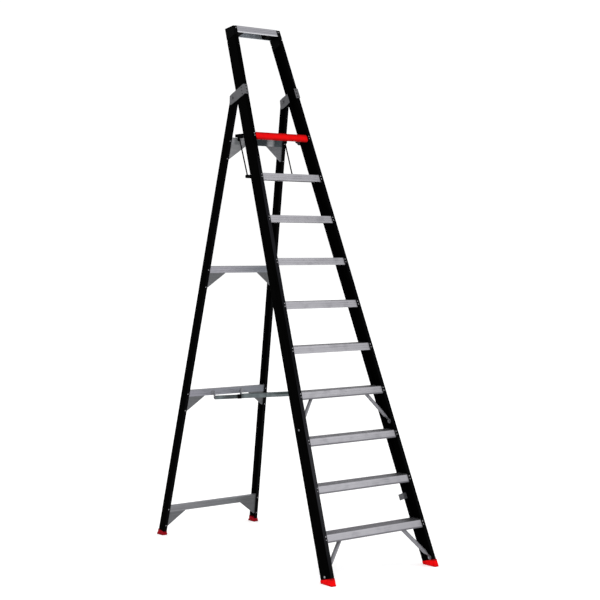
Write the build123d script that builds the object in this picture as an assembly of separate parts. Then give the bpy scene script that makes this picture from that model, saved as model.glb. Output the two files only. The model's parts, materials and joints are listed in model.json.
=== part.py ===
from build123d import *
from math import atan2, cos, degrees, hypot, radians, sin, tan
import os

# Stance, in millimetres and degrees
step_rise = 305.0
first_tread_top = 314.0
tread_count = 9
platform_drop = 4.0
guard_height = 809.0
hinge_rise = 265.0
front_lean = 20.79
rear_lean = 11.94
fold_angle = 32.0

# Front stiles: channels with the web outside
stile_inner_gap = 894.0
stile_taper = 3.634
stile_width = 32.0
stile_depth = 109.0
stile_wall = 5.0
channel_corner = 4.0

# Rear legs: smaller channels hung on the hinge bolts
hinge_v = 155.0
leg_width = 29.0
leg_depth = 71.0
leg_wall = 4.5
leg_taper = 3.435
leg_head = 24.0
head_corner = 14.0

# Treads: a downward channel, grooved on top and in front
tread_plate = 3.0
tread_skirt = 51.0
tread_lip = 12.0
tread_nosing = 2.5
groove_depth = 1.2
groove_width = 4.0
tread_grooves = 7

# Handrail and the corners that hold it
handrail_inset = 4.0
handrail_slope = 7.0
handrail_rear_skirt = 59.0
handrail_hold = 9.0
corner_height = 72.0
corner_drop = 4.0
corner_plug = 42.0
corner_arm = 70.0

# Rear rails and gussets
second_rail_top = 2083.0
third_rail_top = 1138.0
low_rail_top = 233.0
rail_height = 49.0
rail_depth = 24.0
rail_wall = 3.0
rail_setback = 3.0
gusset_plate = 2.5
gusset_reach = 147.0
gusset_drop = 111.0
gusset_toe = 3.0
gusset_fold = 16.0
gusset_heel = 8.0

# Feet: boots cut low on the inner side
boot_wall = 3.0
boot_sole = 12.0
front_boot_height = 50.0
front_boot_tilt = 16.0
rear_boot_height = 42.0
rear_boot_tilt = 12.0
sole_flare = 3.0
sole_height = 14.0

# Hinge brackets, from the hinge bolt
hinge_plate_rise = 36.0
hinge_plate_low = 40.0
hinge_plate_dip = 3.0
hinge_plate_rear = 49.0
hinge_plate_drop = 42.0
hinge_tail_back = 35.0
hinge_nose_front = 29.0
hinge_nose_rise = 28.0
hinge_corner = 7.0
hinge_tail_lap = 5.0
hinge_plate_chamfer = 11.0
saddle_crest = 16.0
cheek_overlap = 24.0
cheek_height = 64.0

# Platform
plank_depth = 19.0
plank_wall = 4.0
deck_bays = 4
deck_grooves = 16
deck_margin = 15.0
deck_corner = 38.0
deck_side_gap = 20.0
skirt_wall = 4.0
skirt_drop = 33.0
skirt_flange = 24.0
skirt_end = 15.0
skirt_pivot = 9.0
nose_front = 6.0
nose_height = 55.0
nose_depth = 13.0
nose_round = 5.0
nose_end_round = 22.0
nose_side_gap = 2.5
lip_overhang = -10.0
platform_pivot_drop = 47.0
pivot_back = 8.0
hanger_gap = 4.0
hanger_height = 56.0
hanger_radius = 9.0

# Lever linkage
lever_length = 130.0
lever_rise = 3.7
lever_drop = 23.0
lever_back = 14.0
lever_bar = 26.0
lever_wall = 5.0
lever_gap = 2.5
rod_radius = 5.0
rod_gap = 1.0
rod_bend = 6.0
rod_end = 3.0

# Spreaders
spreader_tread = 4
spreader_back = 12.0
spreader_drop = 27.0
spreader_bar = 30.0
spreader_wall = 4.0
spreader_x = 114.0
spreader_standoff = 18.0
spreader_under = 16.0
spreader_boss = 9.0
hook_height = 34.0
hook_rise = 20.0

# Knee braces: flattened tubes under two of the treads
braced_treads = (1, 4)
lower_brace_run = 231.0
upper_brace_run = 194.0
lower_brace_drop = 264.0
upper_brace_drop = 250.0
lower_brace_radius = 14.0
upper_brace_radius = 12.0
brace_neck = 46.0
brace_flat = 12.0
brace_strip = 28.0
brace_thin = 3.5
brace_pad = 4.0
pad_length = 40.0
lug_radius = 16.0

# Transport clip round the rear flange
clip_part = 0.475
clip_height = 43.0
clip_reach = 44.0
clip_hook = 15.0
clip_plate = 3.0

# Fits, plates and fasteners
seat_gap = 0.2
running_fit = 0.05
side_gap = 0.5
leg_play = 1.5
bracket_plate = 3.0
ear_radius = 12.0
tab_width = 26.0
pin_radius = 4.0
pin_head = 7.0
pin_head_height = 3.0
pivot_radius = 4.5
hinge_bolt_radius = 6.0
hinge_bolt_head = 11.0
hinge_bolt_grip = 9.0
bolt_radius = 4.0
bolt_head = 8.0
head_height = 5.0
far = 6000.0

# Levels that follow from the stance
sin_front, cos_front = sin(radians(front_lean)), cos(radians(front_lean))
sin_rear, cos_rear = sin(radians(rear_lean)), cos(radians(rear_lean))
taper_front = tan(radians(stile_taper))
taper_rear = tan(radians(leg_taper))
platform_top = first_tread_top + tread_count * step_rise - platform_drop
ladder_top = platform_top + guard_height
hinge_z = platform_top + hinge_rise
hinge_u = (hinge_z + hinge_v * sin_front) / cos_front

# Fore and aft positions: the footprint is centred on the origin
hinge_from_front = hinge_u * sin_front + hinge_v * cos_front
toe = -boot_wall / cos_front
heel = hinge_from_front + hinge_z * sin_rear / cos_rear
heel += (leg_depth / 2 + boot_wall + sole_flare) / cos_rear
front_y = -(toe + heel) / 2
hinge_y = front_y + hinge_from_front

# The two flat frames: front is (X, v rearward, u upward), rear hangs from the hinge line
front = Location((0, front_y, 0), (-front_lean, 0, 0))
rear = Location((0, hinge_y, hinge_z), (rear_lean, 0, 0))
stile_floor_x = stile_inner_gap / 2 + stile_width / 2


def stile_x(u):
    """Middle of the right stile at height u along the front frame."""
    return stile_floor_x - u * taper_front


def leg_x(s):
    """Middle of the right rear leg at s along the rear frame, zero at the hinge."""
    return stile_x(hinge_u) - s * taper_rear


def u_at(z, v):
    """Length along the front frame of a point at height z and depth v."""
    return (z + v * sin_front) / cos_front


def s_at(z, w=0.0):
    """Length along the rear frame of a point at height z and depth w."""
    return (z - hinge_z - w * sin_rear) / cos_rear


def lean_point(v, z):
    """Point in the YZ plane at depth v behind the front plane and height z."""
    return (0, front_y + v / cos_front + z * sin_front / cos_front, z)


def slab(low, high):
    """Everything between two heights."""
    return Pos(0, 0, (low + high) / 2) * Box(far, far, high - low)


def under(y, z, tilt):
    """Everything below a plane through a point, rising rearwards by a tilt."""
    return Pos(0, y, z) * Rot(tilt, 0, 0) * Pos(0, 0, -far / 2) * Box(far, far, far)


def both_sides(shape):
    """The right-hand piece together with its mirror image."""
    return Compound(children=[shape, mirror(shape, about=Plane.YZ)])


def channel(width, depth, wall, length):
    """Channel along Z with its web at +X and its front face at Y = 0."""
    profile = Pos(0, depth / 2) * Rectangle(width, depth)
    profile -= Pos(-wall / 2, depth / 2) * Rectangle(width - wall, depth - 2 * wall)
    profile = fillet(profile.vertices().group_by(Axis.X)[-1], channel_corner)
    return extrude(profile, amount=length)


def across(x, y, z, radius, length):
    """Cylinder along X starting at x."""
    return Pos(x + length / 2, y, z) * Rot(0, 90, 0) * Cylinder(radius, length)


def hexagon(x, y, z, radius, height):
    """Bolt head or nut along X starting at x."""
    return Pos(x, y, z) * Rot(0, 90, 0) * extrude(RegularPolygon(radius, 6), amount=height)


def ear(x, hole, radius, foot, foot_size, hole_radius):
    """Plate across X with a round end about a hole, spreading to its foot."""
    outline = make_hull((Pos(*hole) * Circle(radius) + Pos(*foot) * Rectangle(*foot_size)).edges())
    outline -= Pos(*hole) * Circle(hole_radius)
    return Pos(x, 0, 0) * extrude(Plane.YZ * outline, amount=bracket_plate)


def tread_section(v_front, v_rear, tops, lows):
    """Downward channel with skirts parallel to the stiles, grooved on top and in front."""
    outline = [
        lean_point(v_front, tops[0]),
        lean_point(v_rear, tops[1]),
        lean_point(v_rear, lows[1]),
        lean_point(v_rear - tread_lip, lows[1]),
        lean_point(v_rear - tread_lip, lows[1] + tread_plate),
        lean_point(v_rear - tread_plate, lows[1] + tread_plate),
        lean_point(v_rear - tread_plate, tops[1] - tread_plate),
        lean_point(v_front + tread_plate, tops[0] - tread_plate),
        lean_point(v_front + tread_plate, lows[0] + tread_plate),
        lean_point(v_front + tread_lip, lows[0] + tread_plate),
        lean_point(v_front + tread_lip, lows[0]),
        lean_point(v_front, lows[0]),
    ]
    section = make_face(Polyline(*outline, close=True))
    corners = [section.vertices().sort_by_distance(outline[i])[0] for i in (0, 11)]
    section = fillet(corners, tread_nosing)
    for i in range(tread_grooves):
        part = (i + 1) / (tread_grooves + 1)
        top = tops[0] + part * (tops[1] - tops[0])
        middle = lean_point(v_front + part * (v_rear - v_front), top)
        section -= Plane.YZ * Pos(middle[1], middle[2]) * Rectangle(groove_width, 2 * groove_depth)
    for part in (0.36, 0.64):
        middle = lean_point(v_front, tops[0] - part * (tops[0] - lows[0]))
        slot = Rot(0, 0, -front_lean) * Rectangle(2 * groove_depth, groove_width)
        section -= Plane.YZ * Pos(middle[1], middle[2]) * slot
    return section


def cross_bar(section, half):
    """A section in the YZ plane drawn out both ways from the middle."""
    return extrude(section, amount=half, dir=(1, 0, 0), both=True)


parts = {}


def pair(name, shape):
    """Store a right-hand piece and its left-hand mirror image."""
    parts["right_" + name] = shape
    parts["left_" + name] = mirror(shape, about=Plane.YZ)


# Front stiles, cut square at the top and standing on the boot soles
below = 2 * stile_depth
stile_top_u = (ladder_top - corner_height) / cos_front
stile_axis = front * Location((stile_floor_x, 0, 0), (0, -stile_taper, 0))
stile = channel(stile_width, stile_depth, stile_wall, stile_top_u + below)
stile = stile_axis * Pos(0, 0, -below) * stile
stile -= slab(-far, boot_sole)

# Knee braces: a tube flattened to a pad under the tread and a round lug bolted to the web
brace_v = stile_depth / 2
brace_runs = (lower_brace_run, upper_brace_run)
brace_drops = (lower_brace_drop, upper_brace_drop)
brace_radii = (lower_brace_radius, upper_brace_radius)
brace_shapes = []
brace_bolts = []
braces = zip(braced_treads, brace_runs, brace_drops, brace_radii)
for k, brace_run, brace_drop, brace_radius in braces:
    tread_top = first_tread_top + (k - 1) * step_rise
    low_u = u_at(tread_top - brace_drop, brace_v)
    web_x = stile_x(low_u) + stile_width / 2 - stile_wall
    low_seat = front * Location((web_x - seat_gap, brace_v, low_u), (0, -stile_taper, 0))
    lug = low_seat * across(-brace_pad, 0, 0, lug_radius, brace_pad)
    high_z = tread_top - tread_plate - seat_gap - brace_pad / 2
    high_y = lean_point(brace_v, high_z)[1]
    pad = Pos(web_x - brace_run, high_y, high_z) * Box(pad_length, brace_strip, brace_pad)
    start = Vector(web_x - brace_run, high_y, high_z)
    end = (low_seat * Location((-brace_pad / 2, 0, 0.6 * lug_radius))).position
    run = end - start
    along = run.normalized()
    tube_length = run.length - 2 * brace_neck
    brace = Plane(origin=(start + end) * 0.5, z_dir=run) * Cylinder(brace_radius, tube_length)
    brace += pad
    brace += lug
    for point, sign in ((start, 1), (end, -1)):
        neck = Plane(origin=point + along * (brace_neck * sign), z_dir=run) * Circle(brace_radius)
        flat = Plane(origin=point + along * (brace_flat * sign), x_dir=(0, 1, 0), z_dir=run)
        brace += loft([(flat * Rectangle(brace_strip, brace_thin)).face(), neck.face()])
        tip_end = brace_flat / 3
        tip_mid = (brace_flat + tip_end) / 2 * sign
        tip = Plane(origin=point + along * tip_mid, x_dir=(0, 1, 0), z_dir=run)
        brace += tip * Box(brace_strip, brace_thin, brace_flat - tip_end)
    bolt_y, bolt_z = low_seat.position.Y, low_seat.position.Z
    bolt_start = web_x - seat_gap - brace_pad - head_height
    hole = across(bolt_start, bolt_y, bolt_z, bolt_radius + running_fit, 2 * stile_width)
    brace -= hole
    stile -= hole
    brace_shapes.append(brace)
    bolt = across(bolt_start, bolt_y, bolt_z, bolt_radius, stile_wall + brace_pad + 2 * head_height)
    bolt += hexagon(bolt_start - side_gap, bolt_y, bolt_z, bolt_head - 1, head_height - side_gap)
    bolt += hexagon(web_x + stile_wall + side_gap, bolt_y, bolt_z, bolt_head, head_height)
    brace_bolts.append(bolt)
pair("front_stile", stile)
pair("lower_brace", brace_shapes[0])
pair("upper_brace", brace_shapes[1])
parts["brace_bolts"] = both_sides(Compound(children=brace_bolts))

# Treads, held between the stile flanges
tread_front = stile_wall + seat_gap
tread_rear = stile_depth - stile_wall - seat_gap
for k in range(1, tread_count + 1):
    top = first_tread_top + (k - 1) * step_rise
    half = stile_x(u_at(top, tread_rear)) + stile_width / 2 - stile_wall - side_gap
    low = top - tread_skirt
    parts["tread_%d" % k] = cross_bar(tread_section(tread_front, tread_rear, (top, top), (low, low)), half)

# Handrail, its top falling a little to the rear
rail_v = (handrail_inset, stile_depth - handrail_inset)
rail_fall = (rail_v[1] - rail_v[0]) * tan(radians(handrail_slope))
handrail_tops = (ladder_top, ladder_top - rail_fall)
handrail_lows = (ladder_top - tread_skirt, ladder_top - rail_fall - handrail_rear_skirt)
rail_inner = stile_x(u_at(ladder_top, stile_depth)) - stile_width / 2
rail_end = rail_inner + handrail_hold
parts["top_handrail"] = cross_bar(tread_section(*rail_v, handrail_tops, handrail_lows), rail_end)

# Handrail corners: a cap that carries on the stile, with an arm inside the handrail
corner_axis = front * Location((stile_x(stile_top_u), 0, stile_top_u), (0, -stile_taper, 0))
cap = Pos(0, stile_depth / 2) * Rectangle(stile_width, stile_depth)
cap = fillet(cap.vertices().group_by(Axis.X)[-1], channel_corner)
cap = Pos(0, 0, seat_gap) * extrude(cap, amount=2 * corner_height)
plug_size = (stile_width - stile_wall - 2 * side_gap, stile_depth - 2 * stile_wall - 2 * side_gap)
plug = Pos(-stile_wall / 2, stile_depth / 2, 1 - corner_plug / 2) * Box(*plug_size, corner_plug + 2)
corner = corner_axis * (cap + plug)
corner &= under(*lean_point(0, ladder_top - corner_drop)[1:], -handrail_slope)
pocket = [
    lean_point(rail_v[0] - seat_gap, ladder_top + corner_height),
    lean_point(rail_v[1] + seat_gap, ladder_top + corner_height),
    lean_point(rail_v[1] + seat_gap, handrail_lows[1] - seat_gap),
    lean_point(rail_v[1] - tread_lip - seat_gap, handrail_lows[1] - seat_gap),
    lean_point(rail_v[0] + tread_lip + seat_gap, handrail_lows[0] - seat_gap),
    lean_point(rail_v[0] - seat_gap, handrail_lows[0] - seat_gap),
]
pocket = make_face(Polyline(*pocket, close=True))
corner -= extrude(pocket, amount=rail_end + seat_gap, dir=(1, 0, 0))
shell = tread_plate + side_gap
arm = [
    lean_point(rail_v[0] + shell, handrail_tops[0] - shell - groove_depth),
    lean_point(rail_v[1] - shell, handrail_tops[1] - shell - groove_depth),
    lean_point(rail_v[1] - shell, handrail_lows[1] + shell),
    lean_point(rail_v[0] + tread_lip + side_gap, handrail_lows[0] + shell),
    lean_point(rail_v[0] + shell, handrail_lows[0] + shell),
]
arm = make_face(Polyline(*arm, close=True))
arm = extrude(arm, amount=corner_arm + handrail_hold + tread_plate, dir=(1, 0, 0))
corner += Pos(rail_inner - corner_arm, 0, 0) * arm
pair("handrail_corner", corner)

# Front boots: a cup round the stile with a sole and a plug in the channel
cup = RectangleRounded(stile_width + 2 * boot_wall, stile_depth + 2 * boot_wall, channel_corner)
socket = Rectangle(stile_width + 2 * seat_gap, stile_depth + 2 * seat_gap)
boot_axis = stile_axis * Pos(0, stile_depth / 2, -below)
boot_line = lean_point(0, front_boot_height)[1:]
boot = (boot_axis * extrude(cup, amount=2 * below)) & slab(0, far)
boot &= under(*boot_line, -front_boot_tilt)
boot -= (boot_axis * extrude(socket, amount=2 * below)) & slab(boot_sole - seat_gap, far)
plug = boot_axis * extrude(Pos(-stile_wall / 2, 0) * Rectangle(*plug_size), amount=2 * below)
plug &= slab(boot_sole / 2, far)
boot += plug & under(boot_line[0], boot_line[1] - tread_plate, -front_boot_tilt)
pair("front_foot", boot)

# Hinge brackets: a saddle over the front flange and the web, and an inner cheek
hinge_seat = front * Location((stile_x(hinge_u), 0, hinge_u), (0, -stile_taper, 0))
outside = max(stile_width / 2, leg_width / 2 + leg_play) + seat_gap
tail_v = hinge_v - hinge_tail_lap
tail = [
    (tail_v, -hinge_plate_drop),
    (hinge_v + hinge_tail_back, -hinge_plate_drop),
    (hinge_v + hinge_plate_rear, -hinge_plate_drop + hinge_plate_chamfer),
    (hinge_v + hinge_nose_front, hinge_nose_rise),
    (tail_v, hinge_plate_rise - hinge_plate_dip - 1),
]
saddle_v = -seat_gap - bracket_plate
saddle = [(saddle_v, -hinge_plate_low)] + tail
saddle += [(stile_depth - saddle_crest, hinge_plate_rise - hinge_plate_dip), (saddle_v, hinge_plate_rise)]
saddle = make_face(Polyline(*saddle, close=True))
saddle = fillet(saddle.vertices().sort_by(Axis.X)[-3:], hinge_corner)
cheek_v = stile_depth - cheek_overlap
cheek = [(cheek_v, -cheek_height / 2 - 2)] + tail + [(cheek_v, cheek_height / 2 + 2)]
cheek = make_face(Polyline(*cheek, close=True))
cheek = fillet(cheek.vertices().sort_by(Axis.X)[-3:], hinge_corner)
hinge_hole = across(0, hinge_y, hinge_z, hinge_bolt_radius + running_fit, 2 * stile_inner_gap)
bracket = Pos(outside, 0, 0) * extrude(Plane.YZ * saddle, amount=bracket_plate)
wrap_width = stile_width / 2 + outside + bracket_plate
wrap = Box(wrap_width, bracket_plate, hinge_plate_rise + hinge_plate_low)
wrap_mid = (hinge_plate_rise - hinge_plate_low) / 2
wrap_x = (outside + bracket_plate - stile_width / 2) / 2
bracket += Pos(wrap_x, -seat_gap - bracket_plate / 2, wrap_mid) * wrap
pair("hinge_bracket", hinge_seat * bracket - hinge_hole)
inner = Pos(-outside - bracket_plate, 0, 0) * extrude(Plane.YZ * cheek, amount=bracket_plate)
cheek_in = -outside - bracket_plate
cheek_out = stile_width / 2 - bracket_plate
tab = Box(cheek_out - cheek_in, bracket_plate, cheek_height)
inner += Pos((cheek_in + cheek_out) / 2, stile_depth + seat_gap + bracket_plate / 2, 0) * tab
pair("hinge_cheek", hinge_seat * inner - hinge_hole)
bolt_start = stile_x(hinge_u) - outside - bracket_plate - hinge_bolt_grip
bolt_span = 2 * (outside + bracket_plate + hinge_bolt_grip)
hinge_bolt = across(bolt_start, hinge_y, hinge_z, hinge_bolt_radius, bolt_span)
head_start = bolt_start + bolt_span - hinge_bolt_grip + 3
hinge_bolt += hexagon(head_start, hinge_y, hinge_z, hinge_bolt_head, head_height + 2)
hinge_bolt += hexagon(bolt_start - 1, hinge_y, hinge_z, hinge_bolt_head, head_height + 2)
parts["hinge_bolts"] = both_sides(hinge_bolt)

# Rear legs with a rounded head turning between the hinge plates
leg_length = hinge_z / cos_rear + leg_head + 2 * leg_depth
leg_axis = rear * Location((stile_x(hinge_u), 0, 0), (0, -leg_taper, 0))
leg = Pos(0, -leg_depth / 2, leg_head - leg_length) * channel(leg_width, leg_depth, leg_wall, leg_length)
side_outline = Pos(0, leg_head - leg_length / 2) * RectangleRounded(leg_depth, leg_length, head_corner)
leg &= extrude(Plane.YZ * side_outline, amount=leg_width, both=True)
leg = leg_axis * leg
leg -= slab(-far, boot_sole)
head_front = stile_depth + seat_gap + bracket_plate + leg_play
leg -= front * Pos(0, head_front - far / 2, hinge_u) * Box(far, far, far)
leg -= hinge_hole
pair("rear_leg", leg)

# Rear boots with a flared sole
cup = RectangleRounded(leg_width + 2 * boot_wall, leg_depth + 2 * boot_wall, channel_corner)
flare = RectangleRounded(
    leg_width + 2 * boot_wall + 2 * sole_flare,
    leg_depth + 2 * boot_wall + 2 * sole_flare,
    channel_corner,
)
socket = Rectangle(leg_width + 2 * seat_gap, leg_depth + 2 * seat_gap)
plug_size = (leg_width - leg_wall - 2 * side_gap, leg_depth - 2 * leg_wall - 2 * side_gap)
foot_axis = leg_axis * Pos(0, 0, -leg_length)
foot_tall = 4 * leg_depth
foot_s = s_at(rear_boot_height, leg_depth / 2 + boot_wall)
foot_y = hinge_y + (leg_depth / 2 + boot_wall) * cos_rear - foot_s * sin_rear
boot = (foot_axis * extrude(cup, amount=foot_tall)) & slab(0, far)
boot &= under(foot_y, rear_boot_height, rear_boot_tilt)
boot += (foot_axis * extrude(flare, amount=foot_tall)) & slab(0, sole_height)
boot -= (foot_axis * extrude(socket, amount=foot_tall)) & slab(boot_sole - seat_gap, far)
plug = foot_axis * extrude(Pos(-leg_wall / 2, 0) * Rectangle(*plug_size), amount=foot_tall)
plug &= slab(boot_sole / 2, far)
boot += plug & under(foot_y, rear_boot_height - tread_plate, rear_boot_tilt)
pair("rear_foot", boot)

# Rear rails: channels open to the rear, their ends inside the leg channels
rail_front = -leg_depth / 2 + leg_wall + rail_setback
rail_rear = rail_front + rail_depth
rest_z = platform_top - plank_depth - seat_gap
rail_tops = (second_rail_top, third_rail_top, low_rail_top)
rail_levels = [s_at(rest_z, rail_rear)] + [s_at(z) for z in rail_tops]
for i, s_top in enumerate(rail_levels, start=1):
    s_low = s_top - rail_height
    half = leg_x(s_top) + leg_width / 2 - leg_wall - side_gap
    section = Pos((rail_front + rail_rear) / 2, (s_top + s_low) / 2) * Rectangle(rail_depth, rail_height)
    hollow = Rectangle(rail_depth, rail_height - 2 * rail_wall)
    section -= Pos((rail_front + rail_rear) / 2 + rail_wall, (s_top + s_low) / 2) * hollow
    for part in (0.35, 0.65):
        section -= Pos(rail_front, s_top - part * rail_height) * Rectangle(2 * groove_depth, groove_width)
    parts["rear_rail_%d" % i] = rear * cross_bar(Plane.YZ * section, half)

    # Gussets under the rail: a triangle with a folded top and a folded slope
    s_end = s_low - gusset_drop
    s_toe = s_low - gusset_toe
    web_top = leg_x(s_low) + leg_width / 2 - leg_wall - side_gap
    toe_x = leg_x(s_low) - leg_width / 2 - gusset_reach
    heel_x = leg_x(s_end) - leg_width / 2 - gusset_heel
    outline = [(web_top, s_low), (toe_x, s_low), (toe_x, s_toe), (heel_x, s_end), (web_top, s_end)]
    gusset = extrude(Plane.XZ * make_face(Polyline(*outline, close=True)), amount=-gusset_plate)
    top_fold = Box(web_top - toe_x, gusset_fold, gusset_plate)
    gusset += Pos((web_top + toe_x) / 2, gusset_fold / 2, s_low - gusset_plate / 2) * top_fold
    slope = [
        (toe_x, s_toe),
        (heel_x, s_end),
        (heel_x + 2 * gusset_plate, s_end),
        (toe_x + 2 * gusset_plate, s_toe),
    ]
    gusset += extrude(Plane.XZ * make_face(Polyline(*slope, close=True)), amount=-0.6 * gusset_fold)
    gusset = rear * Pos(0, rail_front, 0) * gusset
    parts["gussets_%d" % i] = both_sides(gusset)

# Platform pivots, link ends and lever pivots: an exact parallelogram
platform_pivot_v = stile_depth + pivot_back
pivot_z = platform_top - platform_pivot_drop
pivot_u = u_at(pivot_z, platform_pivot_v)
pivot_y = lean_point(platform_pivot_v, pivot_z)[1]
lever_v = stile_depth + lever_back
lever_z = first_tread_top + (tread_count - 1) * step_rise - lever_drop
lever_u = u_at(lever_z, lever_v)
lever_y = lean_point(lever_v, lever_z)[1]
arm_y = lever_length * cos(radians(lever_rise))
arm_z = lever_length * sin(radians(lever_rise))
link_top = (pivot_y + arm_y, pivot_z + arm_z)
link_low = (lever_y + arm_y, lever_z + arm_z)
deck_half = stile_x(pivot_u) - stile_width / 2 - deck_side_gap
rod_x = deck_half - skirt_wall - rod_radius - rod_gap

# Platform deck: an inverted tray with ribs and a front wall behind the nose
wall_v = nose_front + nose_depth + seat_gap
deck_front = lean_point(wall_v, platform_top)[1]
rail_1_rear = hinge_y + rail_rear * cos_rear - rail_levels[0] * sin_rear
deck_rear = rail_1_rear + lip_overhang
deck_length = deck_rear - deck_front
deck_mid = (deck_front + deck_rear) / 2
plank_half = deck_half - skirt_wall - seat_gap
outline = Pos(0, deck_mid) * Rectangle(2 * plank_half, deck_length)
outline = fillet(outline.vertices().group_by(Axis.Y)[-1], deck_corner)
inside = Pos(0, deck_mid) * Rectangle(2 * (plank_half - plank_wall), deck_length - 2 * plank_wall)
inside = fillet(inside.vertices().group_by(Axis.Y)[-1], deck_corner - plank_wall)
deck = Pos(0, 0, platform_top - plank_depth) * extrude(outline, amount=plank_depth)
bay = (2 * plank_half - (deck_bays + 1) * plank_wall) / deck_bays
for i in range(deck_bays):
    x = -plank_half + plank_wall + bay / 2 + i * (bay + plank_wall)
    hollow = inside & Pos(x, deck_mid) * Rectangle(bay, deck_length)
    deck -= Pos(0, 0, platform_top - plank_depth) * extrude(hollow, amount=plank_depth - plank_wall)
for i in range(deck_grooves):
    y = deck_front + (i + 1) * deck_length / (deck_grooves + 1)
    groove = Box(2 * (plank_half - deck_margin), groove_width, 2 * groove_depth)
    deck -= Pos(0, y, platform_top) * groove
wall_low = platform_top - nose_height + 2 * plank_wall
wall = [
    lean_point(wall_v, platform_top - groove_depth),
    lean_point(wall_v + plank_wall, platform_top - groove_depth),
    lean_point(wall_v + plank_wall, wall_low),
    lean_point(wall_v, wall_low),
]
deck += cross_bar(make_face(Polyline(*wall, close=True)), plank_half)
parts["platform_deck"] = deck

# Platform sides: plates closing the deck edges that carry its pivots and the link rods
under_z = platform_top - plank_depth - seat_gap
skirt_low = platform_top - skirt_drop
skirt_front = pivot_y - skirt_pivot
skirt_back = link_top[0] + skirt_end
edge_length = deck_length - deck_corner
skirt = Pos(deck_front + edge_length / 2, platform_top - plank_depth / 2) * Rectangle(edge_length, plank_depth)
skirt_band = Rectangle(skirt_back - skirt_front, skirt_drop)
skirt += Pos((skirt_front + skirt_back) / 2, platform_top - skirt_drop / 2) * skirt_band
skirt += Pos(pivot_y, pivot_z) * Circle(skirt_pivot)
skirt += Pos(pivot_y, (pivot_z + skirt_low) / 2) * Rectangle(2 * skirt_pivot, abs(skirt_low - pivot_z))
skirt += Pos(link_top[0], link_top[1]) * Circle(skirt_end)
skirt -= Pos(pivot_y, pivot_z) * Circle(pivot_radius + running_fit)
skirt -= Pos(link_top[0], link_top[1]) * Circle(rod_radius + running_fit)
skirt_x = deck_half - skirt_wall
side = Pos(skirt_x, 0, 0) * extrude(Plane.YZ * skirt, amount=skirt_wall)
flange = Box(skirt_flange, skirt_back - skirt_front, bracket_plate)
side += Pos(deck_half - skirt_flange / 2, (skirt_front + skirt_back) / 2, under_z - bracket_plate / 2) * flange
parts["platform_sides"] = both_sides(side)

# Platform nose: a rounded bar between the front flanges
nose_top = platform_top
nose_low = nose_top - nose_height
nose_half = stile_x(u_at(nose_top, nose_front)) - stile_width / 2 - nose_side_gap
nose = [
    lean_point(nose_front, nose_top),
    lean_point(nose_front + nose_depth, nose_top),
    lean_point(nose_front + nose_depth, nose_low),
    lean_point(nose_front, nose_low),
]
nose_edges = (nose[0], nose[3])
nose = make_face(Polyline(*nose, close=True))
nose = fillet([nose.vertices().sort_by_distance(p)[0] for p in nose_edges], nose_round)
nose = cross_bar(nose, nose_half)
nose_mid_u = u_at((nose_top + nose_low) / 2, nose_front + nose_depth / 2)
nose_tall = nose_height / cos_front + nose_depth * sin_front / cos_front
outline = RectangleRounded(2 * nose_half, nose_tall, nose_end_round)
outline = front * Pos(0, 0, nose_mid_u) * extrude(Plane.XZ * outline, amount=stile_depth, both=True)
parts["platform_nose"] = nose & outline

# Platform hinge brackets on the rear flanges, with their pivots
ear_x = deck_half + hanger_gap
flange_rear = stile_depth + seat_gap
tab_end = stile_x(pivot_u) + stile_width / 2 - stile_wall
hanger_foot = (flange_rear + bracket_plate / 2, pivot_u)
hanger = ear(
    ear_x,
    (platform_pivot_v, pivot_u),
    hanger_radius,
    hanger_foot,
    (bracket_plate, hanger_height),
    pivot_radius + running_fit,
)
tab = Box(tab_end - ear_x, bracket_plate, hanger_height)
hanger += Pos((ear_x + tab_end) / 2, *hanger_foot) * tab
parts["platform_hinge_brackets"] = both_sides(front * hanger)
pivot = across(skirt_x, pivot_y, pivot_z, pivot_radius, ear_x + bracket_plate - skirt_x)
parts["platform_pivots"] = both_sides(pivot)

# Lever brackets on the back of the top tread, with their pins
lever_x = rod_x + rod_radius + lever_gap
lever_ear_x = lever_x + lever_wall + side_gap
skirt_rear = tread_rear + seat_gap
carrier_foot = (skirt_rear + bracket_plate / 2, lever_u)
carrier_size = (bracket_plate, 2 * ear_radius)
carrier_hole = (lever_v, lever_u)
carrier = ear(lever_ear_x, carrier_hole, ear_radius, carrier_foot, carrier_size, pin_radius + running_fit)
tab = Box(tab_width, *carrier_size)
carrier += Pos(lever_ear_x + tab_width / 2, *carrier_foot) * tab
parts["lever_brackets"] = both_sides(front * carrier)
pin_length = lever_ear_x + bracket_plate - lever_x + 1
pin = across(lever_x, lever_y, lever_z, pin_radius, pin_length)
pin += across(lever_ear_x + bracket_plate, lever_y, lever_z, pin_head, pin_head_height)
parts["lever_pins"] = both_sides(pin)

# Levers: flat bars with a hole at each end
lever = SlotCenterToCenter(lever_length, lever_bar)
lever -= Pos(-lever_length / 2, 0) * Circle(pin_radius + running_fit)
lever -= Pos(lever_length / 2, 0) * Circle(rod_radius + running_fit)
lever_mid = ((lever_y + link_low[0]) / 2, (lever_z + link_low[1]) / 2)
lever = Plane.YZ * Pos(*lever_mid) * Rot(0, 0, lever_rise) * lever
pair("lever", Pos(lever_x, 0, 0) * extrude(lever, amount=lever_wall))

# Link rods: round bar bent outwards at both ends
drop = Vector(0, link_low[0] - link_top[0], link_low[1] - link_top[1])
rod_plane = Plane(origin=(0, *link_top), x_dir=(1, 0, 0), z_dir=(0, -drop.Z, drop.Y))
rod_tip = deck_half + rod_end
rod_foot = lever_x + lever_wall + rod_end
rod_path = FilletPolyline((rod_tip, 0), (rod_x, 0), (rod_x, drop.length), (rod_foot, drop.length), radius=rod_bend)
rod_path = rod_plane * rod_path
rod = sweep(Plane(origin=rod_path @ 0, z_dir=rod_path % 0) * Circle(rod_radius), path=rod_path)
pair("link_rod", rod)

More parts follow.
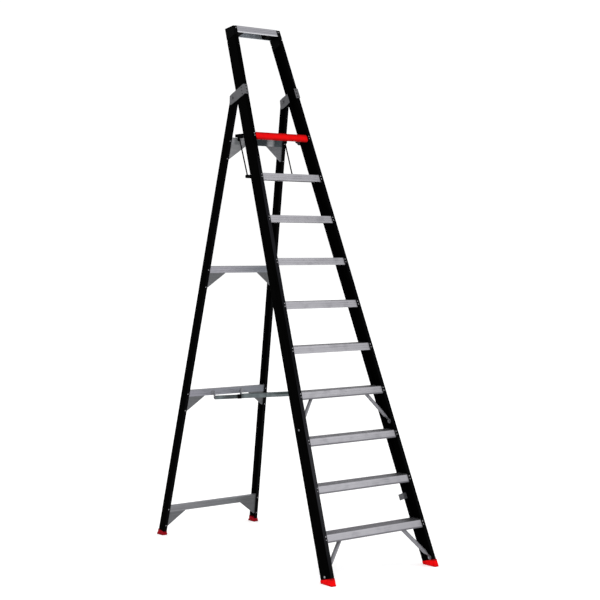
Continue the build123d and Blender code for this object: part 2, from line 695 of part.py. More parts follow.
# Spreaders: where the rear pivot comes to when folded sets the two half lengths
spreader_v = stile_depth + spreader_back
fork_z = first_tread_top + (spreader_tread - 1) * step_rise - spreader_drop
fork_y = lean_point(spreader_v, fork_z)[1]
fork_u = u_at(fork_z, spreader_v)
hook_w = rail_front - spreader_standoff
hook_s = rail_levels[2] - rail_height - spreader_under
hook_y = hinge_y + hook_w * cos_rear - hook_s * sin_rear
hook_z = hinge_z + hook_w * sin_rear + hook_s * cos_rear
span = hypot(hook_y - fork_y, hook_z - fork_z)
slope = atan2(hook_z - fork_z, hook_y - fork_y)
swing = radians(fold_angle)
folded_y = (hook_y - hinge_y) * cos(swing) + (hook_z - hinge_z) * sin(swing)
folded_z = (hook_z - hinge_z) * cos(swing) - (hook_y - hinge_y) * sin(swing)
folded_u = (folded_y + hinge_from_front) * sin_front + (folded_z + hinge_z) * cos_front
front_half = (span + folded_u - fork_u) / 2
rear_half = span - front_half
middle = (fork_y + front_half * cos(slope), fork_z + front_half * sin(slope))


def spreader_half(x, a, b, length):
    """Flat bar between two points in the YZ plane, with a hole at the first end."""
    bar = SlotCenterToCenter(length, spreader_bar)
    bar -= Pos(-length / 2, 0) * Circle(pin_radius + running_fit)
    turn = degrees(atan2(b[1] - a[1], b[0] - a[0]))
    bar = Plane.YZ * Pos((a[0] + b[0]) / 2, (a[1] + b[1]) / 2) * Rot(0, 0, turn) * bar
    return Pos(x, 0, 0) * extrude(bar, amount=spreader_wall)


rear_bar_x = spreader_x + spreader_wall + side_gap
half_bar = spreader_half(spreader_x, (fork_y, fork_z), middle, front_half)
half_bar += across(spreader_x - bracket_plate, *middle, spreader_boss, bracket_plate)
pair("spreader_front", half_bar)
half_bar = spreader_half(rear_bar_x, (hook_y, hook_z), middle, rear_half)
half_bar += across(rear_bar_x + spreader_wall, *middle, spreader_boss, bracket_plate)
pair("spreader_rear", half_bar)

# Spreader brackets: forks on the tread, hooks under the third rail
fork_x = spreader_x - side_gap - bracket_plate
fork_foot = (skirt_rear + bracket_plate / 2, fork_u)
fork_size = (bracket_plate, tab_width)
fork = ear(fork_x, (spreader_v, fork_u), ear_radius, fork_foot, fork_size, pin_radius + running_fit)
fork += Pos(fork_x + bracket_plate - tab_width / 2, *fork_foot) * Box(tab_width, *fork_size)
parts["spreader_forks"] = both_sides(front * fork)
pin = across(fork_x - 1, fork_y, fork_z, pin_radius, spreader_x + spreader_wall - fork_x + 1)
pin += across(fork_x - pin_head_height, fork_y, fork_z, pin_head, pin_head_height)
parts["spreader_fork_pins"] = both_sides(pin)
hook_x = rear_bar_x + spreader_wall + side_gap
hook_foot = (rail_front - seat_gap - bracket_plate / 2, rail_levels[2] - rail_height + hook_rise)
hook_size = (bracket_plate, hook_height)
hook = ear(hook_x, (hook_w, hook_s), ear_radius, hook_foot, hook_size, pin_radius + running_fit)
hook += Pos(hook_x + tab_width / 2, *hook_foot) * Box(tab_width, *hook_size)
parts["spreader_hooks"] = both_sides(rear * hook)
pin = across(rear_bar_x, hook_y, hook_z, pin_radius, hook_x + bracket_plate - rear_bar_x + 1)
pin += across(hook_x + bracket_plate, hook_y, hook_z, pin_head, pin_head_height)
parts["spreader_hook_pins"] = both_sides(pin)

# Transport clip: a bent plate round the rear flange of the right stile, ending in a hook
clip_u = u_at(first_tread_top + clip_part * step_rise, stile_depth)
clip_x = -stile_width / 2 - side_gap
clip_far = clip_x + stile_width - stile_wall - side_gap
clip_in = stile_depth - stile_wall - seat_gap
clip_out = stile_depth + clip_reach
clip = [
    (clip_far, clip_in),
    (clip_far, clip_in - clip_plate),
    (clip_x - clip_plate, clip_in - clip_plate),
    (clip_x - clip_plate, clip_out),
    (clip_x - clip_plate + clip_hook, clip_out),
    (clip_x - clip_plate + clip_hook, clip_out - clip_plate),
    (clip_x, clip_out - clip_plate),
    (clip_x, clip_in),
]
clip = extrude(make_face(Polyline(*clip, close=True)), amount=clip_height / 2, both=True)
clip_seat = front * Location((stile_x(clip_u), 0, clip_u), (0, -stile_taper, 0))
parts["transport_clip"] = clip_seat * clip

os.makedirs("parts", exist_ok=True)
for name, shape in parts.items():
    export_step(shape, "parts/" + name + ".step")
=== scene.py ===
import bmesh
import bpy
import json
import math
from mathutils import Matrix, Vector


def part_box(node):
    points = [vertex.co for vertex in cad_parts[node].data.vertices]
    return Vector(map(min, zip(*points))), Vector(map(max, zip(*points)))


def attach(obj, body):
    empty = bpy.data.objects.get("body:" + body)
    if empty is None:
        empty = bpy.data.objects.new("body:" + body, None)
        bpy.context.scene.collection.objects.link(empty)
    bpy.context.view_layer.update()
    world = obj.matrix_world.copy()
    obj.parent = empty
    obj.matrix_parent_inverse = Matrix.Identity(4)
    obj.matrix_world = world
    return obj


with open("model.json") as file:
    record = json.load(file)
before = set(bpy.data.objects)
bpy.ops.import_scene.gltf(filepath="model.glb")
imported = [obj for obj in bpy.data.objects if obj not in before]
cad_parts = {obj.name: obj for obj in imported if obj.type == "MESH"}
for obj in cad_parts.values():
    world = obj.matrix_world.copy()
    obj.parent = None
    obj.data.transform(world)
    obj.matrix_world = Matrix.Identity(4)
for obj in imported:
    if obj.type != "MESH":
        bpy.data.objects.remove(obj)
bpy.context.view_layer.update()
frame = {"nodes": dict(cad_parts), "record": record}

# Studio: a white floor running out of sight, a white surround and two large soft lamps.
# The camera stands to the left of the climbing side, a little above the middle of the ladder.
floor_half = 60.0
floor_corners = [(x * floor_half, y * floor_half, 0.0) for x, y in ((-1, -1), (1, -1), (1, 1), (-1, 1))]
floor_mesh = bpy.data.meshes.new("studio_floor")
floor_mesh.from_pydata(floor_corners, [], [(0, 1, 2, 3)])
floor = bpy.data.objects.new("studio_floor", floor_mesh)
bpy.context.scene.collection.objects.link(floor)


def linear(hex_colour):
    """An sRGB hex colour as linear red, green, blue and alpha."""
    parts = [int(hex_colour[i:i + 2], 16) / 255 for i in (1, 3, 5)]
    return [p / 12.92 if p <= 0.04045 else ((p + 0.055) / 1.055) ** 2.4 for p in parts] + [1.0]


def add(tree, kind, inputs={}, stops=(), **settings):
    """Adds one node, sets its options and colour stops, and fills or links its inputs."""
    node = tree.nodes.new(kind)
    for key, value in settings.items():
        setattr(node, key, value)
    for i, (position, shade) in enumerate(stops):
        stop = node.color_ramp.elements[i] if i < 2 else node.color_ramp.elements.new(position)
        stop.position = position
        stop.color = linear(shade)
    for key, value in inputs.items():
        if isinstance(value, bpy.types.NodeSocket):
            tree.links.new(value, node.inputs[key])
        else:
            node.inputs[key].default_value = value
    return node


def new_finish(name):
    """A material with an empty tree, its output and a Principled shader."""
    material = bpy.data.materials.new(name)
    material.use_nodes = True
    tree = material.node_tree
    tree.nodes.clear()
    shader = add(tree, "ShaderNodeBsdfPrincipled")
    add(tree, "ShaderNodeOutputMaterial", {"Surface": shader.outputs["BSDF"]})
    return material, tree, shader


floor_paint, tree, shader = new_finish("matt_white_floor")
place = add(tree, "ShaderNodeTexCoord")
mottle = add(tree, "ShaderNodeTexNoise", {"Vector": place.outputs["Object"], "Scale": 0.4, "Detail": 2.0})
tint = {"Fac": mottle.outputs["Fac"]}
tint = add(tree, "ShaderNodeValToRGB", tint, stops=[(0.3, "#f4f4f4"), (0.7, "#f8f8f8")])
tree.links.new(tint.outputs["Color"], shader.inputs["Base Color"])
shader.inputs["Roughness"].default_value = 0.9
shader.inputs["Emission Color"].default_value = linear("#ffffff")
shader.inputs["Emission Strength"].default_value = 0.2
floor_mesh.materials.append(floor_paint)

world = bpy.data.worlds.new("white_surround")
world.use_nodes = True
surround = world.node_tree.nodes["Background"]
surround.inputs["Color"].default_value = linear("#ffffff")
surround.inputs["Strength"].default_value = 1.05
bpy.context.scene.world = world
bpy.context.scene.view_settings.view_transform = "Standard"

for name, where, aim, size, power in (
    ("front_lamp", (-5.5, -7.0, 3.6), (0.0, -0.3, 1.8), 4.0, 260),
    ("side_lamp", (6.0, -5.0, 3.0), (0.0, 0.0, 1.5), 4.0, 60),
):
    lamp = bpy.data.lights.new(name, "AREA")
    lamp.size = size
    lamp.energy = power
    stand = bpy.data.objects.new(name, lamp)
    stand.location = where
    stand.rotation_euler = (Vector(aim) - Vector(where)).to_track_quat("-Z", "Y").to_euler()
    bpy.context.scene.collection.objects.link(stand)

eye = bpy.data.cameras.new("camera")
eye.sensor_width = 36.0
eye.lens = 82.885
eye.clip_end = 200.0
camera = bpy.data.objects.new("camera", eye)
camera.location = (-6.1573, -7.99997, 2.1830)
look_down = math.radians(1.972)
look_roll = math.radians(0.075)
look_right = math.radians(38.068)
camera.rotation_euler = (math.radians(90) - look_down, look_roll, -look_right)
bpy.context.scene.collection.objects.link(camera)
bpy.context.scene.camera = camera


# Front stiles and rear legs: black glass-fibre channels, pulled through a heated die and sawn off.
# The glass runs lengthwise under a thin skin of resin, a deep dull black with faint streaks.
# The faces towards the front carry a painted sheen, grey on the left stile and faint on the others, most of
# all below waist height.
def dress(material, *names):
    """Gives CAD nodes one finish."""
    for name in names:
        slots = frame["nodes"][name].data.materials
        slots.clear()
        slots.append(material)


front_lean = math.radians(20.79)
rear_lean = math.radians(11.94)
front_out = Vector((0.0, -math.cos(front_lean), math.sin(front_lean)))
rear_out = Vector((0.0, -math.cos(rear_lean), -math.sin(rear_lean)))
# Painted sheen up the front faces, as shares of four metres
full_height = 4.0
sheen_strong = "#2b2b2e"
sheen_middle = "#1a1a1d"
sheen_faint = "#0e0e10"
sheen_none = "#020202"
left_sheen = (
    (0.02, sheen_faint), (0.15, sheen_strong), (0.21, sheen_strong), (0.33, sheen_faint),
    (0.44, sheen_faint), (0.53, sheen_middle), (0.63, sheen_middle), (0.74, sheen_none),
)
right_sheen = ((0.0, "#060607"), (1.0, "#030304"))
rear_sheen = ((0.0, "#0a0a0b"), (1.0, "#060607"))
for name, turn, outwards, sheen_shades, members in (
    ("pultruded_black_left", front_lean, front_out, left_sheen, ("left_front_stile",)),
    ("pultruded_black_right", front_lean, front_out, right_sheen, ("right_front_stile",)),
    ("pultruded_black_rear", -rear_lean, rear_out, rear_sheen, ("left_rear_leg", "right_rear_leg")),
):
    black_glass, tree, shader = new_finish(name)
    place = add(tree, "ShaderNodeTexCoord")
    upright = add(tree, "ShaderNodeMapping", {"Vector": place.outputs["Object"], "Rotation": (turn, 0, 0)})
    # Strands are about 0.3 mm apart: drawn 8 mm wide and 0.5 m long so that they show at all
    strands = add(tree, "ShaderNodeMapping", {"Vector": upright.outputs["Vector"], "Scale": (125, 125, 2)})
    streak = {"Vector": strands.outputs["Vector"], "Scale": 1.0, "Detail": 4.0}
    streak = add(tree, "ShaderNodeTexNoise", streak)
    resin = {"Fac": streak.outputs["Fac"]}
    resin = add(tree, "ShaderNodeValToRGB", resin, stops=[(0.3, "#000000"), (0.75, "#030303")])
    # The sheen is painted only on faces that look to the front
    facing = {0: place.outputs["Normal"], 1: outwards}
    facing = add(tree, "ShaderNodeVectorMath", facing, operation="DOT_PRODUCT")
    front_facing = {"Value": facing.outputs["Value"], "From Min": 0.9, "From Max": 0.98}
    front_facing = add(tree, "ShaderNodeMapRange", front_facing)
    level = add(tree, "ShaderNodeSeparateXYZ", {"Vector": place.outputs["Object"]})
    share_up = {"Value": level.outputs["Z"], "From Min": 0.0, "From Max": full_height}
    share_up = add(tree, "ShaderNodeMapRange", share_up)
    painted_sheen = add(tree, "ShaderNodeValToRGB", {"Fac": share_up.outputs["Result"]}, stops=sheen_shades)
    uneven = {"Value": streak.outputs["Fac"], "From Min": 0.3, "From Max": 0.7, "To Min": 0.75}
    uneven = add(tree, "ShaderNodeMapRange", uneven)
    sheen_mask = {0: front_facing.outputs["Result"], 1: uneven.outputs["Result"]}
    sheen_mask = add(tree, "ShaderNodeMath", sheen_mask, operation="MULTIPLY")
    skin = {"Factor": sheen_mask.outputs["Value"], 6: resin.outputs["Color"], 7: painted_sheen.outputs["Color"]}
    skin = add(tree, "ShaderNodeMix", skin, data_type="RGBA")
    tree.links.new(skin.outputs[2], shader.inputs["Base Color"])
    gloss = add(tree, "ShaderNodeMapRange", {"Value": streak.outputs["Fac"], "To Min": 0.42, "To Max": 0.6})
    tree.links.new(gloss.outputs["Result"], shader.inputs["Roughness"])
    relief = {"Height": streak.outputs["Fac"], "Strength": 0.15, "Distance": 0.0005}
    relief = add(tree, "ShaderNodeBump", relief)
    tree.links.new(relief.outputs["Normal"], shader.inputs["Normal"])
    shader.inputs["IOR"].default_value = 1.5
    shader.inputs["Specular IOR Level"].default_value = 0.003
    dress(black_glass, *members)


# Feet: moulded red rubber boots pushed over the ends of the stiles and legs.
# Rubber is dull, with a slight bloom in patches. The rubber is darker above the rim and towards the ground,
# and the rear pair is painted darker as shade.
sole_darkest = 0.002
sole_plain = 0.009
rim_plain = 0.034
rim_darkest = 0.047
for name, dark, light, members in (
    ("red_rubber_front", "#bd0305", "#da0407", ("left_front_foot", "right_front_foot")),
    # The rear pair is the same rubber, its colours painted darker as shade
    ("red_rubber_rear_painted_shade", "#72050f", "#920716", ("left_rear_foot", "right_rear_foot")),
):
    red_rubber, tree, shader = new_finish(name)
    place = add(tree, "ShaderNodeTexCoord")
    # The bloom is in patches of about 25 mm
    bloom = {"Vector": place.outputs["Object"], "Scale": 40.0, "Detail": 4.0}
    bloom = add(tree, "ShaderNodeTexNoise", bloom)
    body = {"Fac": bloom.outputs["Fac"]}
    body = add(tree, "ShaderNodeValToRGB", body, stops=[(0.35, dark), (0.6, light)])
    level = add(tree, "ShaderNodeSeparateXYZ", {"Vector": place.outputs["Object"]})
    # Darker towards the ground and above the rim
    ground = {"From Min": sole_darkest, "From Max": sole_plain, "To Min": 0.55, "To Max": 0.0}
    ground = add(tree, "ShaderNodeMapRange", {"Value": level.outputs["Z"], **ground})
    rim = {"From Min": rim_plain, "From Max": rim_darkest, "To Max": 0.7}
    rim = add(tree, "ShaderNodeMapRange", {"Value": level.outputs["Z"], **rim})
    darkening = {0: ground.outputs["Result"], 1: rim.outputs["Result"]}
    darkening = add(tree, "ShaderNodeMath", darkening, operation="MAXIMUM")
    darkened = {"Factor": darkening.outputs["Value"], 6: body.outputs["Color"], 7: linear("#2a0607")}
    darkened = add(tree, "ShaderNodeMix", darkened, data_type="RGBA")
    tree.links.new(darkened.outputs[2], shader.inputs["Base Color"])
    relief = {"Height": bloom.outputs["Fac"], "Strength": 0.1, "Distance": 0.0005}
    relief = add(tree, "ShaderNodeBump", relief)
    tree.links.new(relief.outputs["Normal"], shader.inputs["Normal"])
    shader.inputs["Roughness"].default_value = 0.65
    shader.inputs["Specular IOR Level"].default_value = 0.03
    dress(red_rubber, *members)


# Treads: extruded aluminium channels with ribbed tops, left as they come from the die.
# Fine die lines run along the bar, and the right-hand ends carry a little painted shade. The ribbed tops are
# painted darker as shade, blackest in the right-hand corner, and a painted shadow runs along the lower edge
# of the first four.
boot_sole = 0.012
stile_taper = math.radians(3.634)
stile_half = 0.016
stile_low, stile_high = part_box("right_front_stile")
foot_x = stile_high[0] - stile_half + boot_sole * math.tan(stile_taper)
edge_shade_full = 0.008
edge_shade_end = 0.013
edge_shade_up_to = 1.4
corner_shade_start = 0.17
corner_shade_full = 0.09
treads = ["tread_%d" % k for k in range(1, 10)]
tread_low, tread_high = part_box("tread_1")
step_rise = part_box("tread_2")[1][2] - tread_high[2]
mill_aluminium, tree, shader = new_finish("extruded_aluminium")
place = add(tree, "ShaderNodeTexCoord")
# Die lines are well under 1 mm: drawn 3 mm apart and 0.4 m long so that they show
lines = add(tree, "ShaderNodeMapping", {"Vector": place.outputs["Object"], "Scale": (2.5, 330, 330)})
line = add(tree, "ShaderNodeTexNoise", {"Vector": lines.outputs["Vector"], "Scale": 1.0, "Detail": 3.0})
cloud = add(tree, "ShaderNodeTexNoise", {"Vector": place.outputs["Object"], "Scale": 14.0, "Detail": 3.0})
both = add(tree, "ShaderNodeMath", {0: line.outputs["Fac"], 1: cloud.outputs["Fac"]}, operation="ADD")
metal = {"Fac": both.outputs["Value"]}
metal = add(tree, "ShaderNodeValToRGB", metal, stops=[(0.7, "#8b8a8f"), (1.0, "#a1a0a5")])
level = add(tree, "ShaderNodeSeparateXYZ", {"Vector": place.outputs["Object"]})
# Painted shade growing towards the right-hand ends
rightwards = {"Value": level.outputs["X"], "From Min": -0.1, "From Max": 0.35}
rightwards = add(tree, "ShaderNodeMapRange", rightwards)
right_shade_ramp = {"Fac": rightwards.outputs["Result"]}
right_shade_ramp = add(tree, "ShaderNodeValToRGB", right_shade_ramp, stops=[(0.0, "#ffffff"), (1.0, "#e9e9e9")])
right_shaded = {"Factor": 1.0, 6: metal.outputs["Color"], 7: right_shade_ramp.outputs["Color"]}
right_shaded = add(tree, "ShaderNodeMix", right_shaded, data_type="RGBA", blend_type="MULTIPLY")
# Painted shadow along the lower edge of the treads below 1.4 m
over_low = add(tree, "ShaderNodeMath", {0: level.outputs["Z"], 1: tread_low[2]}, operation="SUBTRACT")
over_edge = {0: over_low.outputs["Value"], 1: step_rise}
over_edge = add(tree, "ShaderNodeMath", over_edge, operation="FLOORED_MODULO")
edge_shade = {"From Min": edge_shade_full, "From Max": edge_shade_end, "To Min": 0.9, "To Max": 0.0}
edge_shade = add(tree, "ShaderNodeMapRange", {"Value": over_edge.outputs["Value"], **edge_shade})
lower = add(tree, "ShaderNodeMath", {0: level.outputs["Z"], 1: edge_shade_up_to}, operation="LESS_THAN")
edge_shade = {0: edge_shade.outputs["Result"], 1: lower.outputs["Value"]}
edge_shade = add(tree, "ShaderNodeMath", edge_shade, operation="MULTIPLY")
faces = {"Factor": edge_shade.outputs["Value"], 6: right_shaded.outputs[2], 7: linear("#5c5b60")}
faces = add(tree, "ShaderNodeMix", faces, data_type="RGBA")
way = add(tree, "ShaderNodeSeparateXYZ", {"Vector": place.outputs["Normal"]})
# Painted shade on the upward-facing tops
top_shade_mask = add(tree, "ShaderNodeMapRange", {"Value": way.outputs["Z"], "From Min": 0.8, "From Max": 0.95})
top_shade_ramp = {"Fac": both.outputs["Value"]}
top_shade_ramp = add(tree, "ShaderNodeValToRGB", top_shade_ramp, stops=[(0.7, "#4a494d"), (1.0, "#59585d")])
stile_fall = math.tan(stile_taper) / math.cos(front_lean)
sideways = {0: level.outputs["Z"], 1: stile_fall, 2: level.outputs["X"]}
sideways = add(tree, "ShaderNodeMath", sideways, operation="MULTIPLY_ADD")
# Painted shade deepening to near black in the right-hand corner by the stile
corner = {"From Min": foot_x - corner_shade_start, "From Max": foot_x - corner_shade_full}
corner = add(tree, "ShaderNodeMapRange", {"Value": sideways.outputs["Value"], **corner})
corner_shaded = {"Factor": corner.outputs["Result"], 6: top_shade_ramp.outputs["Color"], 7: linear("#0a0a0b")}
corner_shaded = add(tree, "ShaderNodeMix", corner_shaded, data_type="RGBA")
tops = {"Factor": top_shade_mask.outputs["Result"], 6: faces.outputs[2], 7: corner_shaded.outputs[2]}
tops = add(tree, "ShaderNodeMix", tops, data_type="RGBA")
tree.links.new(tops.outputs[2], shader.inputs["Base Color"])
# The tops are not metallic, so that their painted shade stays dark
top_metallic = add(tree, "ShaderNodeMapRange", {"Value": top_shade_mask.outputs["Result"], "To Min": 0.7, "To Max": 0.0})
tree.links.new(top_metallic.outputs["Result"], shader.inputs["Metallic"])
gloss = add(tree, "ShaderNodeMapRange", {"Value": line.outputs["Fac"], "To Min": 0.42, "To Max": 0.6})
tree.links.new(gloss.outputs["Result"], shader.inputs["Roughness"])
relief = add(tree, "ShaderNodeBump", {"Height": line.outputs["Fac"], "Strength": 0.2, "Distance": 0.0004})
tree.links.new(relief.outputs["Normal"], shader.inputs["Normal"])
shader.inputs["Specular IOR Level"].default_value = 0.1
dress(mill_aluminium, *treads)


# Tread rivets: domed blind rivets through the front flange into each tread end, the platform
# stops and the handrail corners. Zinc plating keeps them bright against the black.
def rivet_group():
    """Geometry Nodes that set a domed head on every point, facing the way the point says."""
    group = bpy.data.node_groups.new("rivet_heads", "GeometryNodeTree")
    for label, kind in (
        ("Points", "NodeSocketGeometry"),
        ("Head Radius", "NodeSocketFloat"),
        ("Head Height", "NodeSocketFloat"),
        ("Seed", "NodeSocketInt"),
        ("Finish", "NodeSocketMaterial"),
    ):
        group.interface.new_socket(label, in_out="INPUT", socket_type=kind)
    group.interface.new_socket("Heads", in_out="OUTPUT", socket_type="NodeSocketGeometry")
    given = add(group, "NodeGroupInput").outputs
    tip_share = 0.25
    tip = add(group, "ShaderNodeMath", {0: given["Head Radius"], 1: tip_share}, operation="MULTIPLY")
    cone = {
        "Vertices": 12, "Side Segments": 3, "Radius Bottom": given["Head Radius"],
        "Radius Top": tip.outputs["Value"], "Depth": given["Head Height"],
    }
    cone = add(group, "GeometryNodeMeshCone", cone, fill_type="NGON")
    spot = add(group, "GeometryNodeInputPosition")
    spot = add(group, "ShaderNodeSeparateXYZ", {"Vector": spot.outputs["Position"]})
    rise = add(group, "ShaderNodeMath", {0: spot.outputs["Z"], 1: given["Head Height"]}, operation="DIVIDE")
    left = add(group, "ShaderNodeMath", {0: 1.0, 1: rise.outputs["Value"]}, operation="SUBTRACT")
    bulge = {0: rise.outputs["Value"], 1: left.outputs["Value"]}
    bulge = add(group, "ShaderNodeMath", bulge, operation="MULTIPLY")
    bulge_share = 1.2
    swell = {0: bulge.outputs["Value"], 1: bulge_share, 2: 1.0}
    swell = add(group, "ShaderNodeMath", swell, operation="MULTIPLY_ADD")
    domed = {"Z": spot.outputs["Z"]}
    for axis in ("X", "Y"):
        wide = {0: spot.outputs[axis], 1: swell.outputs["Value"]}
        domed[axis] = add(group, "ShaderNodeMath", wide, operation="MULTIPLY").outputs["Value"]
    domed = add(group, "ShaderNodeCombineXYZ", domed)
    head = {"Geometry": cone.outputs["Mesh"], "Position": domed.outputs["Vector"]}
    head = add(group, "GeometryNodeSetPosition", head)
    facing = add(group, "GeometryNodeInputNamedAttribute", {"Name": "facing"}, data_type="FLOAT_VECTOR")
    turned = {"Vector": facing.outputs["Attribute"]}
    turned = add(group, "FunctionNodeAlignRotationToVector", turned, axis="Z")
    smallest = 0.94
    largest = 1.06
    driven = {2: smallest, 3: largest, "Seed": given["Seed"]}
    driven = add(group, "FunctionNodeRandomValue", driven, data_type="FLOAT")
    heads = {
        "Points": given["Points"],
        "Instance": head.outputs["Geometry"],
        "Rotation": turned.outputs["Rotation"],
        "Scale": driven.outputs[1],
    }
    heads = add(group, "GeometryNodeInstanceOnPoints", heads)
    solid = add(group, "GeometryNodeRealizeInstances", {"Geometry": heads.outputs["Instances"]})
    plated = {"Geometry": solid.outputs["Geometry"], "Material": given["Finish"]}
    plated = add(group, "GeometryNodeSetMaterial", plated)
    add(group, "NodeGroupOutput", {"Heads": plated.outputs["Geometry"]})
    return group


rivet_heads = rivet_group()


def set_rivets(name, body, places, radius, height, finish):
    """One mesh of rivet heads at places of point and outward direction, riding on a body."""
    carrier_mesh = bpy.data.meshes.new(name + "_places")
    sunk = 0.0003
    carrier_mesh.from_pydata([point - outwards * sunk for point, outwards in places], [], [])
    facing = carrier_mesh.attributes.new("facing", "FLOAT_VECTOR", "POINT")
    for cell, (point, outwards) in zip(facing.data, places):
        cell.vector = outwards
    carrier = bpy.data.objects.new(name + "_places", carrier_mesh)
    bpy.context.scene.collection.objects.link(carrier)
    modifier = carrier.modifiers.new("rivets", "NODES")
    modifier.node_group = rivet_heads
    sockets = {s.name: s.identifier for s in rivet_heads.interface.items_tree if s.in_out == "INPUT"}
    rivet_seed = 7
    settings = {"Head Radius": radius, "Head Height": height, "Seed": rivet_seed, "Finish": finish}
    for label, value in settings.items():
        modifier[sockets[label]] = value
    bpy.context.view_layer.update()
    depsgraph = bpy.context.evaluated_depsgraph_get()
    mesh = bpy.data.meshes.new_from_object(carrier.evaluated_get(depsgraph))
    mesh.name = name
    carrier.modifiers.remove(modifier)
    bpy.data.objects.remove(carrier)
    piece = bpy.data.objects.new(name, mesh)
    bpy.context.scene.collection.objects.link(piece)
    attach(piece, body)


bright_zinc, tree, shader = new_finish("bright_zinc_plating")
place = add(tree, "ShaderNodeTexCoord")
dull = add(tree, "ShaderNodeTexNoise", {"Vector": place.outputs["Object"], "Scale": 90.0, "Detail": 3.0})
plating = {"Fac": dull.outputs["Fac"]}
plating = add(tree, "ShaderNodeValToRGB", plating, stops=[(0.3, "#7b7b7f"), (0.7, "#abaaae")])
tree.links.new(plating.outputs["Color"], shader.inputs["Base Color"])
gloss = add(tree, "ShaderNodeMapRange", {"Value": dull.outputs["Fac"], "To Min": 0.3, "To Max": 0.5})
tree.links.new(gloss.outputs["Result"], shader.inputs["Roughness"])
shader.inputs["Metallic"].default_value = 0.85

front_y = stile_low[1] - boot_sole * math.tan(front_lean)


def on_front(side, across, back, along):
    """A point of the front frame: off the stile's middle, behind its face, along its length."""
    x = foot_x - along * math.tan(stile_taper) + across
    y = front_y + back * math.cos(front_lean) + along * math.sin(front_lean)
    return Vector((side * x, y, along * math.cos(front_lean) - back * math.sin(front_lean)))


rivet_radius = 0.004
rivet_height = 0.0018
flange_inward = -0.006
tread_drops = (0.009, 0.029)
nose_drops = (0.009, 0.026)
handrail_drop = 0.019
heights = [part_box(name)[1][2] - drop for name in treads for drop in tread_drops]
heights += [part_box("platform_nose")[1][2] - drop for drop in nose_drops]
heights += [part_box("top_handrail")[1][2] - handrail_drop]
flange_places = []
for side in (-1, 1):
    for z in heights:
        along = z / math.cos(front_lean)
        flange_places.append((on_front(side, flange_inward, 0.0, along), front_out))
set_rivets("flange_rivets", "front_frame", flange_places, rivet_radius, rivet_height, bright_zinc)


# Knee braces: steel tubes flattened at both ends, one end under the tread and one bolted to the stile.
# Their zinc has gone dull, a middle grey with soft spots, darker round their lower, bolted ends.
# The bolts have a brighter plating, and the upper pair is darker.
lug_top = 0.04
lug_fade = 0.015
for name, lug_dark, members in (
    ("dull_zinc_steel_lower", 0.2, ("left_lower_brace", "right_lower_brace")),
    ("dull_zinc_steel", 0.6, ("left_upper_brace", "right_upper_brace")),
):
    brace_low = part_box(members[0])[0]
    dull_zinc, tree, shader = new_finish(name)
    place = add(tree, "ShaderNodeTexCoord")
    # Spangles of about 11 mm under a grain of about 17 mm
    spangle = add(tree, "ShaderNodeTexVoronoi", {"Vector": place.outputs["Object"], "Scale": 90.0})
    grain = {"Vector": place.outputs["Object"], "Scale": 60.0, "Detail": 4.0}
    grain = add(tree, "ShaderNodeTexNoise", grain)
    blotch = {0: spangle.outputs["Distance"], 1: grain.outputs["Fac"]}
    blotch = add(tree, "ShaderNodeMath", blotch, operation="ADD")
    zinc = {"Fac": blotch.outputs["Value"]}
    zinc = add(tree, "ShaderNodeValToRGB", zinc, stops=[(0.4, "#5e5e62"), (1.0, "#76767b")])
    level = add(tree, "ShaderNodeSeparateXYZ", {"Vector": place.outputs["Object"]})
    lug_z = brace_low[2] + lug_top
    lug = {"From Min": lug_z, "From Max": lug_z + lug_fade, "To Min": lug_dark, "To Max": 0.0}
    lug = add(tree, "ShaderNodeMapRange", {"Value": level.outputs["Z"], **lug})
    lug_darkened = {"Factor": lug.outputs["Result"], 6: zinc.outputs["Color"], 7: linear("#2f2f31")}
    lug_darkened = add(tree, "ShaderNodeMix", lug_darkened, data_type="RGBA")
    tree.links.new(lug_darkened.outputs[2], shader.inputs["Base Color"])
    shader.inputs["Metallic"].default_value = 0.4
    gloss = add(tree, "ShaderNodeMapRange", {"Value": grain.outputs["Fac"], "To Min": 0.45, "To Max": 0.65})
    tree.links.new(gloss.outputs["Result"], shader.inputs["Roughness"])
    dress(dull_zinc, *members)

bolt_low, bolt_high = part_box("brace_bolts")
bolt_zinc, tree, shader = new_finish("zinc_plated_bolts")
place = add(tree, "ShaderNodeTexCoord")
dull = add(tree, "ShaderNodeTexNoise", {"Vector": place.outputs["Object"], "Scale": 90.0, "Detail": 3.0})
plating = {"Fac": dull.outputs["Fac"]}
plating = add(tree, "ShaderNodeValToRGB", plating, stops=[(0.3, "#7b7b7f"), (0.7, "#abaaae")])
level = add(tree, "ShaderNodeSeparateXYZ", {"Vector": place.outputs["Object"]})
bolt_middle = (bolt_low[2] + bolt_high[2]) / 2
upper = add(tree, "ShaderNodeMath", {0: level.outputs["Z"], 1: bolt_middle}, operation="GREATER_THAN")
upper_dark = add(tree, "ShaderNodeMath", {0: upper.outputs["Value"], 1: 0.65}, operation="MULTIPLY")
upper_darkened = {"Factor": upper_dark.outputs["Value"], 6: plating.outputs["Color"], 7: linear("#38383a")}
upper_darkened = add(tree, "ShaderNodeMix", upper_darkened, data_type="RGBA")
tree.links.new(upper_darkened.outputs[2], shader.inputs["Base Color"])
gloss = add(tree, "ShaderNodeMapRange", {"Value": dull.outputs["Fac"], "To Min": 0.3, "To Max": 0.5})
tree.links.new(gloss.outputs["Result"], shader.inputs["Roughness"])
shader.inputs["Metallic"].default_value = 0.85
dress(bolt_zinc, "brace_bolts")


